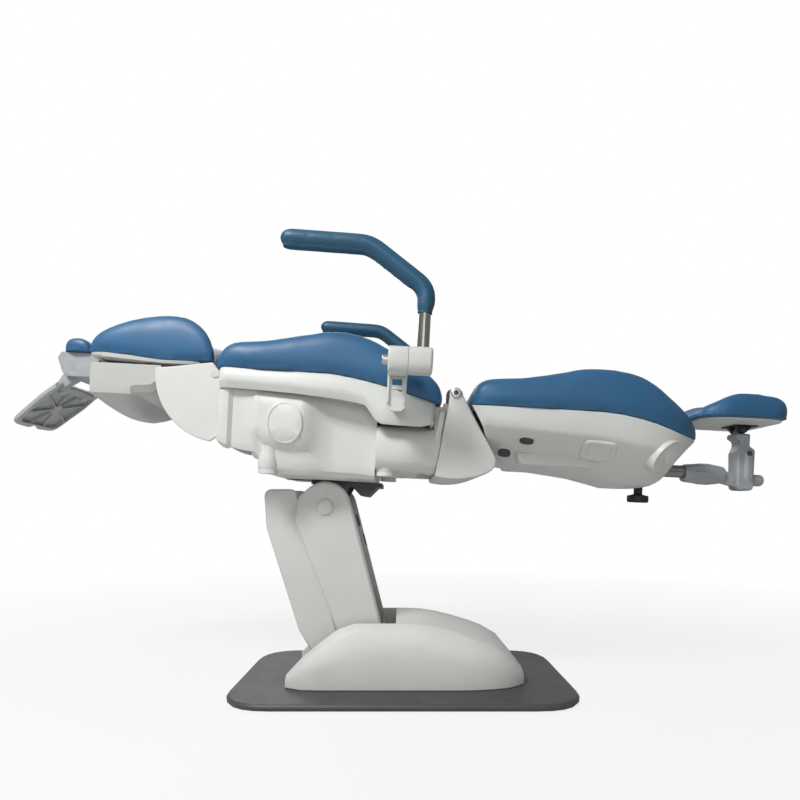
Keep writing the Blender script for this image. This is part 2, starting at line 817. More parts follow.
tray_places = sorted([TRAY_FRONT, -0.264, -0.252, 0.104, 0.132, 0.146] + SEAT_STEPS + [TRAY_BACK])
seat_tray = keep(loft("seat_tray", tray_places, tray_section), SHELL, SEAT_AXES)
tray_hollow_places = sorted([TRAY_FRONT + TRAY_WALL, -0.252, 0.104, 0.132, 0.146] + SEAT_STEPS)
cut(seat_tray, loft("tray_hollow", tray_hollow_places, tray_inside))
rib_side = [(SEAT_STEPS[1], DECK_TOP + FIT), (SEAT_STEPS[5], DECK_TOP + FIT)]
rib_side += [(u, tray_top(u) - 0.5 * TRAY_WALL) for u in SEAT_STEPS[5:0:-1]]
for side, sign in (("near", -1), ("far", 1)):
    ends = sorted((sign * 0.100, sign * 0.112))
    join(seat_tray, prism("tray_rib_" + side, rib_side, *ends))
POCKET_HALF = CHEEK_INNER + CHEEK_THICK + RUN
TRAY_POCKET = POCKET_HALF + 0.0045
POCKET_TOP = seat_seam(LEG_PIVOT_U) - FIT - TRAY_WALL
cut(seat_tray, box("tray_pocket", -0.35, -0.25, -TRAY_POCKET, TRAY_POCKET, 0.2, POCKET_TOP))
NOTCH_IN = HINGE_IN - 3 * RUN
NOTCH_OUT = HINGE_IN + HINGE_THICK + 3 * RUN
for side, sign in (("near", -1), ("far", 1)):
    reach = sorted((sign * NOTCH_IN, sign * NOTCH_OUT))
    cut(seat_tray, box("tray_notch_" + side, 0.24, 0.32, *reach, 0.1, 0.262))

HOUSING_FRONT = -0.2725
HOUSING_BACK = 0.133
housing_low = through(
    [
        (HOUSING_FRONT, 0.146), (-0.250, 0.134), (-0.213, 0.122), (-0.176, 0.117), (-0.160, 0.098),
        (-0.148, 0.080), (-0.125, HOUSING_FLOOR), (HOUSING_BACK, HOUSING_FLOOR),
    ]
)
housing_half = through(
    [
        (HOUSING_FRONT, 0.214), (-0.266, 0.222), (-0.255, 0.2255), (-0.243, 0.2245), (-0.233, 0.2165),
        (-0.184, 0.2150), (-0.160, 0.2060), (-0.036, 0.1985), (0.030, 0.1850), (0.080, 0.181),
        (HOUSING_BACK, 0.181),
    ]
)
BUMP_OUT = 0.2290
bump_share = through(
    [(-0.190, 0.0), (-0.168, 1.0), (-0.060, 1.0), (-0.038, 0.62), (-0.012, 0.16), (0.022, 0.0)]
)


HOUSING_TUCK = through([(-0.257, -FIT), (-0.242, 0.024)])


def housing_top(u):
    return tray_low(u) + HOUSING_TUCK(u)


def housing_section(u):
    wide, low, high = housing_half(u), housing_low(u), housing_top(u)
    lip = tray_low(u) - 0.010
    rise = lip - low
    bump = bump_share(u) * (BUMP_OUT - wide)
    return [
        (0, low),
        (wide - 0.045, low),
        (wide - 0.016, low + 0.03 * rise),
        (wide - 0.004, low + 0.10 * rise),
        (wide, low + 0.22 * rise),
        (wide + 0.10 * bump, low + 0.34 * rise),
        (wide + 0.66 * bump, low + 0.43 * rise),
        (wide + bump, low + 0.55 * rise),
        (wide + bump, low + 0.88 * rise),
        (wide + 0.72 * bump, lip),
        (min(wide, tray_half(u) - 0.013), high),
        (0, high),
    ]


def housing_inside(u):
    wide, low, high = housing_half(u) - HOUSING_WALL, housing_low(u) + HOUSING_WALL, housing_top(
        u
    ) + 0.05
    return [
        (0, low), (wide - 0.045, low), (wide - 0.016, low + 0.012), (wide, low + 0.050),
        (wide, high), (0, high),
    ]


housing_places = [
    HOUSING_FRONT, -0.266, -0.255, -0.243, -0.233, -0.210, -0.184, -0.175, -0.166, -0.158, -0.148,
    -0.125, -0.060, -0.048, -0.036, -0.022, -0.008, 0.010, 0.030, 0.080, HOUSING_BACK,
]
seat_housing = keep(loft("seat_housing", housing_places, housing_section), SHELL, SEAT_AXES)
inner_places = [HOUSING_FRONT - 0.008] + housing_places[1:-1] + [HOUSING_BACK - HOUSING_WALL]
cut(seat_housing, loft("housing_hollow", inner_places, housing_inside))
cut(seat_housing, box("leg_pocket", -0.4, -0.182, -POCKET_HALF, POCKET_HALF, 0.0, 0.4))
SPINE_HALF = 0.055
cut(
    seat_housing,
    box("spine_opening", -0.122, 0.10, -SPINE_HALF - RUN, SPINE_HALF + RUN, 0.0, HOUSING_FLOOR + 0.02),
)
cut(seat_housing, box("rear_opening", 0.10, 0.2, -0.168, 0.168, 0.110, 0.4))
for side, sign in (("near", -1), ("far", 1)):
    join(seat_housing, rod("corner_boss_" + side, "Z", 0.026, 0.079, 0.150, (-0.141, sign * 0.186), 20))

seat_frame = keep(
    box("seat_frame", -0.120, 0.098, -SPINE_HALF, SPINE_HALF, HOUSING_FLOOR, 0.105), FRAME, SEAT_AXES
)
join(seat_frame, box("frame_post", -0.115, -0.075, -0.050, 0.050, 0.100, 0.250))
join(seat_frame, box("frame_post_rear", 0.045, 0.093, -0.050, 0.050, 0.100, 0.250))
join(seat_frame, box("frame_deck", -0.205, 0.215, -0.165, 0.165, DECK_LOW, DECK_TOP))
CHEEK_TIE = CHEEK_INNER - FIT
join(seat_frame, box("frame_tie", -0.205, -0.188, -CHEEK_TIE, CHEEK_TIE, DECK_LOW, DECK_TOP))

cheek_outline = arc(LEG_PIVOT_U + 0.018, LEG_PIVOT_W - 0.005, CHEEK_RADIUS, 176, 262, 14)
cheek_outline += [
    (-0.225, 0.200),
    (-0.187, 0.232),
    (-0.187, 0.262),
    (-0.236, 0.272),
    (LEG_PIVOT_U + 0.025, LEG_PIVOT_W + 0.001),
    (LEG_PIVOT_U + 0.0045, LEG_PIVOT_W + 0.0085),
    (LEG_PIVOT_U - 0.004, LEG_PIVOT_W + 0.023),
    (LEG_PIVOT_U - 0.010, LEG_PIVOT_W + 0.027),
    (LEG_PIVOT_U - 0.110, LEG_PIVOT_W + 0.0115),
]
for side, sign in (("near", -1), ("far", 1)):
    ends = sorted((sign * CHEEK_INNER, sign * (CHEEK_INNER + CHEEK_THICK)))
    cheek = keep(prism("leg_cheek_" + side, cheek_outline, *ends), SHELL, SEAT_AXES)
    round_edges(cheek, 0.002, 1, 50)
    reach = sorted((sign * 0.15, sign * 0.25))
    cut(
        cheek, rod("cheek_hole_" + side, "Y", LEG_PIN_RADIUS + HOLE, *reach, (LEG_PIVOT_U, LEG_PIVOT_W))
    )
    start, stop = CHEEK_INNER - 0.030, CHEEK_INNER + CHEEK_THICK
    pin = [
        (0, stop + FIT + 0.0032),
        (0.010, stop + FIT + 0.0032),
        (0.0125, stop + FIT + 0.0018),
        (0.0125, stop + FIT),
        (LEG_PIN_RADIUS, stop + FIT),
        (LEG_PIN_RADIUS, start),
        (0, start),
    ]
    bolt = turned("leg_pin_" + side, "Y", pin, (LEG_PIVOT_U, LEG_PIVOT_W), 16)
    if sign < 0:
        bolt.data.transform(Matrix.Scale(-1, 4, (0, 1, 0)))
        tidy(bolt.data)
    keep(bolt, STEEL, SEAT_AXES)


# Rear housing and back hinge


NOSE_LOW = 0.101
NOSE_WALL = 0.006
NOSE_FLOOR = NOSE_LOW + NOSE_WALL


def nose_low(u):
    if u < 0.262:
        return NOSE_LOW + 0.06 * max(0.0, u - 0.20)
    return BACK_PIVOT_W - math.sqrt(NOSE_RADIUS**2 - (u - BACK_PIVOT_U) ** 2) + 0.0005


nose_top = through(
    [
        (0.134, 0.223), (0.245, 0.220), (0.262, 0.212), (0.290, 0.204), (0.310, 0.194),
        (0.360, 0.166), (0.405, 0.142),
    ]
)
nose_half = through(
    [
        (0.134, NOSE_FRONT_HALF), (0.228, NOSE_FRONT_HALF), (0.262, 0.178), (0.283, NOSE_HALF_WIDTH),
        (0.300, NOSE_HALF_WIDTH), (0.405, 0.166),
    ]
)


def nose_section(u, inset=0.0):
    wide, low, high = nose_half(u) - inset, nose_low(u) + inset, nose_top(u) - inset
    mid = 0.5 * (low + high)
    rise = mid - low
    half = [(0, low)]
    for angle in (-90, -60, -30, 0, 30, 60, 90):
        a = math.radians(angle)
        y = (wide - 0.05) + 0.05 * abs(math.cos(a)) ** 0.75
        w = mid + rise * math.copysign(abs(math.sin(a)) ** 0.85, a)
        half.append((y, w))
    half.append((0, high))
    return half


nose_places = [0.134, 0.20, 0.228, 0.245, 0.262, 0.285, 0.31, 0.34, 0.375, 0.405]
rear_housing = keep(loft("rear_housing", nose_places, nose_section), SHELL, SEAT_AXES)
cut(
    rear_housing,
    loft("nose_hollow", [0.12] + nose_places[1:8], lambda u: nose_section(max(u, 0.134), NOSE_WALL)),
)

hinge_block = [
    (0.262, 0.190), (0.3145, 0.190), (0.3145, 0.284), (0.3120, 0.2865), (0.3052, 0.2865),
    (0.3032, 0.2845), (0.3032, 0.2765), (0.2830, 0.2765), (0.2830, 0.215), (0.262, 0.205),
]
for side, sign in (("near", -1), ("far", 1)):
    ends = sorted((sign * (HINGE_IN + HINGE_THICK + RUN), sign * 0.1775))
    join(rear_housing, prism("hinge_block_" + side, hinge_block, *ends))
    join(rear_housing, rod("rear_boss_" + side, "Z", 0.025, 0.089, 0.125, (0.160, sign * 0.160), 20))

back_actuator = keep(rod("back_actuator", "X", 0.032, 0.112, 0.262, (0.0, 0.160)), DARK, SEAT_AXES)
join(back_actuator, rod("actuator_motor", "X", 0.026, 0.118, 0.196, (0.052, 0.160)))
join(back_actuator, box("actuator_foot", 0.146, 0.192, -0.022, 0.022, NOSE_FLOOR + FIT, 0.145))

PIN_HEAD_Y = FAN_HALF_WIDTH
for side, sign in (("near", -1), ("far", 1)):
    outline = rounded(
        [
            (0.150, DECK_LOW, 0),
            (0.250, 0.230, 0.02),
            (0.325, 0.230, 0.03),
            (0.354, 0.264, 0.02),
            (0.354, 0.325, 0.014),
            (0.333, 0.332, 0.014),
            (0.313, 0.325, 0.014),
            (0.3085, 0.266, 0.008),
            (0.286, 0.256, 0.01),
            (0.150, 0.256, 0),
        ]
    )
    ends = sorted((sign * HINGE_IN, sign * (HINGE_IN + HINGE_THICK)))
    join(seat_frame, prism("back_hinge_" + side, outline, *ends))
    pin = [
        (0, PIN_HEAD_Y + FIT + 0.006),
        (0.009, PIN_HEAD_Y + FIT + 0.006),
        (0.013, PIN_HEAD_Y + FIT + 0.004),
        (0.013, PIN_HEAD_Y + FIT),
        (BACK_PIN_RADIUS, PIN_HEAD_Y + FIT),
        (BACK_PIN_RADIUS, 0.120),
        (0, 0.120),
    ]
    bolt = turned("back_pin_" + side, "Y", pin, (BACK_PIVOT_U, BACK_PIVOT_W), 16)
    if sign < 0:
        bolt.data.transform(Matrix.Scale(-1, 4, (0, 1, 0)))
        tidy(bolt.data)
    keep(bolt, STEEL, SEAT_AXES)


cut(seat_frame, rod("hinge_hole", "Y", BACK_PIN_RADIUS + HOLE, -0.3, 0.3, (BACK_PIVOT_U, BACK_PIVOT_W)))


def sector(name, radius, start, end, boss, half_width, lean):
    """A fan-shaped block round the back pivot."""
    outline = arc(BACK_PIVOT_U, BACK_PIVOT_W, radius, start, end - 11, 12)
    for share, short in ((0.988, 7.0), (0.962, 3.6), (0.920, 1.3), (0.860, 0.0)):
        outline += arc(BACK_PIVOT_U, BACK_PIVOT_W, share * radius, end - short, end - short, 1)[:1]
    outline += arc(BACK_PIVOT_U, BACK_PIVOT_W, boss, end + lean, start + 360 - lean, 10)
    return prism(name, outline, -half_width, half_width)


def open_sector(name, radius, wall, half_width):
    """What is taken out of a sector so that only its two cheeks and its rim stay."""
    outline = arc(BACK_PIVOT_U, BACK_PIVOT_W, radius - wall, -175, -5, 28)
    outline += [
        (BACK_PIVOT_U + radius, BACK_PIVOT_W + 0.1),
        (BACK_PIVOT_U - radius, BACK_PIVOT_W + 0.1),
    ]
    return prism(name, outline, wall - half_width, half_width - wall)


hinge_cover = sector("hinge_cover", FAN_RADIUS, FAN_FROM, FAN_TO, FAN_BOSS, FAN_HALF_WIDTH, 62)
round_edges(hinge_cover, 0.007, 2, 50)
keep(hinge_cover, SHELL, BACK_AXES)
cut(hinge_cover, open_sector("cover_inside", FAN_RADIUS, FAN_WALL, FAN_HALF_WIDTH))
cut(hinge_cover, rod("fan_hole", "Y", BACK_PIN_RADIUS + HOLE, -0.3, 0.3, (BACK_PIVOT_U, BACK_PIVOT_W)))

back_sector = sector(
    "back_sector", SECTOR_RADIUS, FAN_FROM + 2, FAN_TO - 1.5, 0.017, SECTOR_HALF_WIDTH, 20
)
round_edges(back_sector, 0.006, 1, 50)
keep(back_sector, SHELL, BACK_AXES)
cut(back_sector, open_sector("sector_inside", SECTOR_RADIUS, SECTOR_WALL, SECTOR_HALF_WIDTH))
cut(
    back_sector,
    rod("sector_hole", "Y", BACK_PIN_RADIUS + HOLE, -0.3, 0.3, (BACK_PIVOT_U, BACK_PIVOT_W)),
)


# Back rest

back_top = through(
    [
        (BACK_FRONT, 0.312),
        (0.3750, 0.330),
        (0.386, 0.341),
        (0.413, 0.350),
        (0.458, 0.353),
        (0.504, 0.357),
        (0.549, 0.363),
        (0.578, 0.372),
        (0.608, 0.381),
        (0.638, 0.387),
        (0.683, 0.390),
        (0.729, 0.389),
        (0.774, 0.384),
        (0.805, 0.378),
        (0.836, 0.362),
        (0.867, 0.340),
        (0.899, 0.320),
        (0.930, 0.300),
        (0.970, 0.274),
        (0.990, 0.258),
        (0.999, 0.242),
    ]
)
BACK_STEPS = [0.410, 0.500, 0.580, 0.650, 0.700, 0.750, 0.800, 0.840, 0.875, 0.910, 0.940, 0.965]
back_seam = through(
    [
        (BACK_FRONT, 0.277), (0.533, 0.276), (0.674, 0.276), (0.745, 0.272), (0.816, 0.260),
        (0.871, 0.246), (0.925, 0.233), (0.965, 0.229), (0.999, 0.228),
    ]
)
back_seam = straight(back_seam, BACK_STEPS)
back_half = through(
    [
        (BACK_FRONT, 0.222), (0.378, 0.236), (0.40, 0.247), (0.45, BACK_HALF_WIDTH),
        (0.74, BACK_HALF_WIDTH), (0.83, 0.243), (0.88, 0.231), (0.92, 0.214), (0.958, 0.184),
        (0.985, 0.146), (0.999, 0.100),
    ]
)
back_dish = through(
    [(BACK_FRONT, 0.0), (0.42, 0.014), (0.60, BACK_DISH), (0.80, 0.038), (0.90, 0.018), (0.999, 0.0)]
)
back_places = [BACK_FRONT, 0.3755, 0.387] + BACK_STEPS + [0.985, 0.999]
keep(cushion("back_cushion", back_places, back_top, back_seam, back_half, back_dish), VINYL, BACK_AXES)

shell_low = through(
    [
        (0.36, 0.158), (0.45, 0.147), (0.52, 0.140), (0.60, 0.131), (0.70, 0.120),
        (0.755, 0.108), (0.80, 0.0975), (0.86, 0.0975), (0.90, 0.106), (0.92, 0.122),
        (0.94, 0.152), (0.96, 0.188), (0.978, 0.213), (0.990, 0.2225),
    ]
)
shell_half = through(
    [
        (0.36, 0.230), (0.42, BACK_SHELL_HALF), (0.74, BACK_SHELL_HALF), (0.83, 0.230),
        (0.88, 0.218), (0.92, 0.200), (0.955, 0.172), (0.978, 0.142), (0.990, 0.105),
    ]
)


def shell_top(u):
    return back_seam(u) - FIT


def shell_section(u, inset=0.0, rise=0.0):
    wide, low, high = shell_half(u) - inset, shell_low(u) + inset, shell_top(u) + rise
    deep = shell_top(u) - low
    return [
        (0, low),
        (0.32 * wide, low + 0.01 * deep),
        (0.48 * wide, low + 0.07 * deep),
        (0.68 * wide, low + 0.27 * deep),
        (0.86 * wide, low + 0.46 * deep),
        (0.95 * wide, low + 0.56 * deep),
        (0.985 * wide, low + 0.66 * deep),
        (wide, low + 0.84 * deep),
        (wide, high),
        (0, high),
    ]


shell_places = sorted([0.36, 0.893, 0.925, 0.952, 0.978, 0.990] + BACK_STEPS)
back_shell = keep(loft("back_shell", shell_places, shell_section), SHELL, BACK_AXES)
hollow_places = [0.33] + [u for u in shell_places[1:] if u < 0.955]
cut(back_shell, loft("shell_hollow", hollow_places, lambda u: shell_section(u, BACK_WALL, 0.05)))
EDGE = math.radians(FAN_TO)
EDGE_GAP = 0.0025
EDGE_TOP = (BACK_PIVOT_U + FAN_BOSS + EDGE_GAP, BACK_PIVOT_W)
EDGE_LOW = (
    BACK_PIVOT_U + 0.86 * FAN_RADIUS * math.cos(EDGE) + EDGE_GAP,
    BACK_PIVOT_W + 0.86 * FAN_RADIUS * math.sin(EDGE),
)
slant = [
    tuple(2 * a - b for a, b in zip(EDGE_TOP, EDGE_LOW)),
    tuple(2 * b - a for a, b in zip(EDGE_TOP, EDGE_LOW)),
    (0.10, -0.10),
    (0.10, 0.45),
]
cut(back_shell, prism("shell_front", slant, -0.3, 0.3))
cut(back_shell, rod("rod_opening", "X", ROD_RADIUS + 0.0025, GUIDE_END + 0.003, 1.1, (0.0, ROD_W)))
cut(back_shell, rod("knob_opening", "Z", 0.0145, 0.05, 0.13, (KNOB_U, 0.0)))

board_half = through([(0.372, 0.214), (0.74, 0.222), (0.83, 0.212), (0.90, 0.186), (0.940, 0.148)])


def board_section(u):
    high = back_seam(u) - FIT
    return [(0, high - 0.010), (board_half(u), high - 0.010), (board_half(u), high), (0, high)]


board_places = [0.378] + BACK_STEPS[:11]
keep(loft("back_board", board_places, board_section), BOARD, BACK_AXES)

ARM_IN = 0.130
back_arm = rounded(
    [
        (0.312, 0.296, 0.01),
        (0.318, 0.252, 0.02),
        (0.345, 0.234, 0.02),
        (0.430, 0.226, 0),
        (0.520, 0.226, 0),
        (0.520, 0.250, 0),
        (0.400, 0.254, 0.02),
        (0.359, 0.268, 0.01),
        (0.355, 0.326, 0.014),
        (0.333, 0.333, 0.014),
        (0.311, 0.326, 0.014),
    ]
)
back_frame = keep(box("back_frame", 0.46, 0.80, -0.146, 0.146, 0.228, 0.236), FRAME, BACK_AXES)
for side, sign in (("near", -1), ("far", 1)):
    ends = sorted((sign * ARM_IN, sign * (HINGE_IN - RUN)))
    join(back_frame, prism("back_arm_" + side, back_arm, *ends))
    ends = sorted((sign * 0.086, sign * 0.120))
    join(
        back_frame,
        box("back_riser_" + side, 0.505, 0.640, *ends, 0.232, back_seam(0.6) - 0.010 - 2 * FIT),
    )
cut(
    back_frame,
    rod("back_arm_hole", "Y", BACK_PIN_RADIUS + HOLE, -0.3, 0.3, (BACK_PIVOT_U, BACK_PIVOT_W)),
)

guide = rod("headrest_guide", "X", ROD_RADIUS + GUIDE_WALL, GUIDE_START, GUIDE_END, (0.0, ROD_W), 20)
keep(guide, FRAME, BACK_AXES)
join(
    guide, box("guide_web", GUIDE_START + 0.01, GUIDE_START + 0.08, -0.030, 0.030, ROD_W + 0.012, 0.232)
)
join(guide, box("guide_foot", 0.74, GUIDE_START + 0.08, -0.030, 0.030, 0.2190, 0.228 - FIT))
cut(guide, rod("guide_bore", "X", ROD_RADIUS + FIT, 0.70, 1.1, (0.0, ROD_W), 20))
cut(guide, rod("guide_thread", "Z", SCREW_RADIUS + HOLE, 0.10, ROD_W, (KNOB_U, 0.0)))


# Headrest

keep(rod("headrest_rod", "X", ROD_RADIUS, ROD_START, ROD_END, (0.0, ROD_W), 20), STEEL, ROD_AXES)
yoke = turned(
    "headrest_yoke",
    "X",
    [
        (0, YOKE_END),
        (0.019, YOKE_END),
        (0.0235, YOKE_END - 0.005),
        (0.027, YOKE_END - 0.022),
        (YOKE_RADIUS, YOKE_END - 0.048),
        (0.0305, YOKE_END - 0.075),
        (0.028, YOKE_START + 0.030),
        (0.026, YOKE_START + 0.006),
        (0.0245, YOKE_START),
        (0, YOKE_START),
    ],
    (0, ROD_W - 0.004),
    20,
)
keep(yoke, GREY, ROD_AXES)
tongue = hull([(LOW_PIVOT_U, LOW_PIVOT_W, 0.0165), (YOKE_END - 0.02, ROD_W - 0.006, 0.018)], 18)
join(yoke, prism("yoke_tongue", tongue, -TONGUE_HALF, TONGUE_HALF))
cut(yoke, rod("yoke_bore", "X", ROD_RADIUS + FIT, 0.9, ROD_END + FIT, (0.0, ROD_W), 20))
cut(yoke, rod("yoke_pin_hole", "Y", HEAD_PIN_RADIUS + HOLE, -0.1, 0.1, (LOW_PIVOT_U, LOW_PIVOT_W)))

link_side = [(-0.0070, -0.0240), (0.0180, -0.0240), (0.0260, -0.0205), (0.0290, -0.0125)]
link_side = [(LOW_PIVOT_U + x, LOW_PIVOT_W + z) for x, z in link_side]
link_side += [(LOW_PIVOT_U + 0.0290, BUTTON_W + BUTTON_RADIUS + 0.004)]
waist = [(0.0368, -0.0615), (0.0345, -0.0555), (0.0225, -0.0477), (0.0209, -0.0435), (0.0209, -0.0145)]
waist += [(0.0180, -0.0115), (-0.0185, -0.0115), (-0.0215, -0.0145), (-0.0200, -0.0240)]
waist += [(-0.0060, -0.0330), (-0.0060, -0.0477), (-0.0110, -0.0600), (-0.0140, -0.0670)]
link_side += [(TOP_PIVOT_U + x, TOP_PIVOT_W + z) for x, z in waist]
heel = [(-0.0190, 0.0165), (-0.0185, -0.0085), (-0.0150, -0.0195)]
link_side += [(LOW_PIVOT_U + x, LOW_PIVOT_W + z) for x, z in heel]
headrest_link = prism("headrest_link", link_side, -HEAD_LINK_HALF, HEAD_LINK_HALF)
round_edges(headrest_link, 0.004, 1, 50)
keep(headrest_link, GREY, HEAD_LINK_AXES)
stem = [
    (TOP_PIVOT_U, TOP_PIVOT_W, LINK_TOP_R),
    (TOP_PIVOT_U - 0.010, TOP_PIVOT_W - 0.016, 0.003),
    (TOP_PIVOT_U + 0.010, TOP_PIVOT_W - 0.016, 0.003),
]
join(headrest_link, prism("link_stem", hull(stem, 16), -TONGUE_HALF, TONGUE_HALF))
slot = [
    (LOW_PIVOT_U, LOW_PIVOT_W, 0.0185),
    (LOW_PIVOT_U - 0.153, LOW_PIVOT_W + 0.041, 0.02),
    (LOW_PIVOT_U - 0.143, LOW_PIVOT_W - 0.104, 0.02),
    (LOW_PIVOT_U - 0.073, LOW_PIVOT_W - 0.154, 0.02),
]
cut(headrest_link, prism("link_slot", hull(slot, 16), -TONGUE_HALF - 0.0006, TONGUE_HALF + 0.0006))
cut(
    headrest_link,
    rod("link_pin_hole", "Y", HEAD_PIN_RADIUS + HOLE, -0.1, 0.1, (LOW_PIVOT_U, LOW_PIVOT_W)),
)
cut(
    headrest_link,
    rod("link_top_pin_hole", "Y", HEAD_PIN_RADIUS + HOLE, -0.1, 0.1, (TOP_PIVOT_U, TOP_PIVOT_W)),
)
LINK_FACE = LOW_PIVOT_U + 0.0290
cut(headrest_link, rod("button_hole", "X", 0.0075, LINK_FACE - 0.008, 1.3, (0.0, BUTTON_W), 16))
PIN_HALF = HEAD_LINK_HALF - FIT
keep(
    rod("headrest_low_pin", "Y", HEAD_PIN_RADIUS, -PIN_HALF, PIN_HALF, (LOW_PIVOT_U, LOW_PIVOT_W), 20),
    STEEL,
    HEAD_LINK_AXES,
)
keep(
    rod("headrest_top_pin", "Y", HEAD_PIN_RADIUS, -PIN_HALF, PIN_HALF, (TOP_PIVOT_U, TOP_PIVOT_W), 20),
    STEEL,
    HEAD_LINK_AXES,
)

button = turned(
    "release_button",
    "X",
    [
        (0, LINK_FACE + 0.0386),
        (0.010, LINK_FACE + 0.0380),
        (0.0145, LINK_FACE + 0.0352),
        (BUTTON_RADIUS, LINK_FACE + 0.0290),
        (BUTTON_RADIUS, LINK_FACE + 0.0065),
        (0.0155, LINK_FACE + 0.0036),
        (0.0070, LINK_FACE + 0.0034),
        (0.0070, LINK_FACE - 0.0043),
        (0, LINK_FACE - 0.0043),
    ],
    (0, BUTTON_W),
    16,
)
keep(button, GREY, BUTTON_AXES)

knob = turned(
    "clamp_knob",
    "Z",
    [
        (0, ROD_W - ROD_RADIUS - 0.0005),
        (SCREW_RADIUS, ROD_W - ROD_RADIUS - 0.0005),
        (SCREW_RADIUS, 0.112),
        (0.012, 0.112),
        (0.012, 0.084),
        (0.020, 0.081),
        (KNOB_RADIUS - 0.002, 0.080),
        (KNOB_RADIUS, 0.077),
        (KNOB_RADIUS, 0.063),
        (KNOB_RADIUS - 0.003, 0.060),
        (0, 0.060),
    ],
    (KNOB_U, 0),
    20,
)
keep(knob, DARK, KNOB_AXES)

SHELL_TOP = HEAD_SEAM - FIT
head_block = keep(
    box(
        "headrest_block",
        TOP_PIVOT_U - 0.032,
        TOP_PIVOT_U + 0.036,
        -0.036,
        0.036,
        HEAD_PLATE - 0.0028,
        HEAD_PLATE,
    ),
    DARK,
    HEAD_AXES,
)
head_cheek = hull(
    [
        (TOP_PIVOT_U, TOP_PIVOT_W, HEAD_CHEEK),
        (TOP_PIVOT_U - 0.019, HEAD_PLATE - 0.003, 0.002),
        (TOP_PIVOT_U + 0.019, HEAD_PLATE - 0.003, 0.002),
    ],
    16,
)
for side, sign in (("near", -1), ("far", 1)):
    ends = sorted((sign * (TONGUE_HALF + 0.0006), sign * HEAD_LINK_HALF))
    join(head_block, prism("head_cheek_" + side, head_cheek, *ends))
cut(
    head_block,
    rod("block_pin_hole", "Y", HEAD_PIN_RADIUS + HOLE, -0.1, 0.1, (TOP_PIVOT_U, TOP_PIVOT_W)),
)



def past_top(points):
    """Tables along the headrest, counted from its top pivot."""
    return [(TOP_PIVOT_U + u, size) for u, size in points]


head_shell_half = through(
    past_top(
        [
            (-0.154, 0.072), (-0.134, 0.100), (-0.094, 0.116), (0.016, 0.118), (0.052, 0.108),
            (0.068, 0.090),
        ]
    )
)


HEAD_SHELL_STEPS = [-0.154, -0.146, -0.134, -0.114, -0.084, -0.034, 0.016, 0.041, 0.058, 0.068]


def head_shell_section(u):
    wide = head_shell_half(u)
    low = HEAD_PLATE + FIT
    return [
        (0, low), (wide - 0.014, low), (wide - 0.004, low + 0.0015), (wide, low + 0.004),
        (wide, SHELL_TOP), (0, SHELL_TOP),
    ]


keep(
    loft(
        "headrest_shell",
        [TOP_PIVOT_U + u for u in HEAD_SHELL_STEPS],
        head_shell_section,
    ),
    SHELL,
    HEAD_AXES,
)
head_rise = through(
    past_top(
        [
            (-0.167, 0.020), (-0.160, 0.025), (-0.149, 0.029), (-0.133, 0.034), (-0.102, 0.048),
            (-0.070, 0.057), (-0.037, 0.062), (-0.005, 0.0645), (0.028, 0.0625), (0.056, 0.053),
            (0.070, 0.038), (0.076, 0.022),
        ]
    )
)
head_half = through(
    past_top(
        [
            (-0.167, 0.098), (-0.158, 0.117), (-0.139, 0.131), (-0.104, HEAD_HALF_WIDTH),
            (0.026, HEAD_HALF_WIDTH), (0.054, 0.132), (0.069, 0.117), (0.076, 0.100),
        ]
    )
)
head_dish = through(
    past_top(
        [
            (-0.167, 0.002), (-0.134, 0.008), (-0.064, 0.024), (0.006, 0.024), (0.056, 0.010),
            (0.076, 0.002),
        ]
    )
)
HEAD_STEPS = [
    -0.167, -0.161, -0.150, -0.134, -0.114, -0.084, -0.054, -0.019, 0.016, 0.041, 0.059, 0.070, 0.076
]
head_places = [TOP_PIVOT_U + u for u in HEAD_STEPS]
keep(
    cushion(
        "headrest_cushion",
        head_places,
        lambda u: HEAD_SEAM + head_rise(u),
        lambda u: HEAD_SEAM,
        head_half,
        head_dish,
    ),
    VINYL,
    HEAD_AXES,
)


# Leg rest

leg_top = through(
    [
        (-0.635, 0.386),
        (-0.628, 0.405),
        (-0.618, 0.419),
        (-0.600, 0.431),
        (-0.565, 0.447),
        (-0.514, 0.462),
        (-0.468, 0.470),
        (-0.422, 0.476),
        (-0.391, 0.476),
        (-0.360, 0.470),
        (-0.330, 0.453),
        (-0.315, 0.434),
        (-0.302, 0.402),
        (-0.296, 0.370),
    ]
)
LEG_STEPS = [-0.580, -0.515, -0.475, -0.435, -0.395, -0.360, -0.330]
leg_seam = through(
    [(-0.635, 0.374), (-0.540, 0.369), (-0.475, 0.3625), (-0.435, 0.359), (-0.296, 0.359)]
)
leg_seam = straight(leg_seam, LEG_STEPS)
leg_half = through(
    [
        (-0.635, 0.172), (-0.624, 0.186), (-0.598, 0.194), (-0.550, LEG_HALF_WIDTH),
        (-0.340, LEG_HALF_WIDTH), (-0.312, 0.193), (-0.296, 0.182),
    ]
)
leg_dish = through(
    [(-0.635, 0.0), (-0.570, 0.010), (-0.440, LEG_DISH), (-0.340, LEG_DISH), (-0.296, 0.004)]
)
leg_places = [-0.635, -0.629, -0.616, -0.600] + LEG_STEPS[:1] + [-0.550] + LEG_STEPS[1:] + [
    -0.314, -0.303, -0.296
]
leg_cushion = cushion("leg_cushion", leg_places, leg_top, leg_seam, leg_half, leg_dish)
for point in leg_cushion.data.vertices:
    ahead = max(0.0, (point.co.x - LEG_STEPS[3]) / (leg_places[-1] - LEG_STEPS[3]))
    point.co.x -= LEG_BOW * ahead * (1 - (point.co.y / LEG_HALF_WIDTH) ** 2)
keep(leg_cushion, VINYL, LEG_AXES)

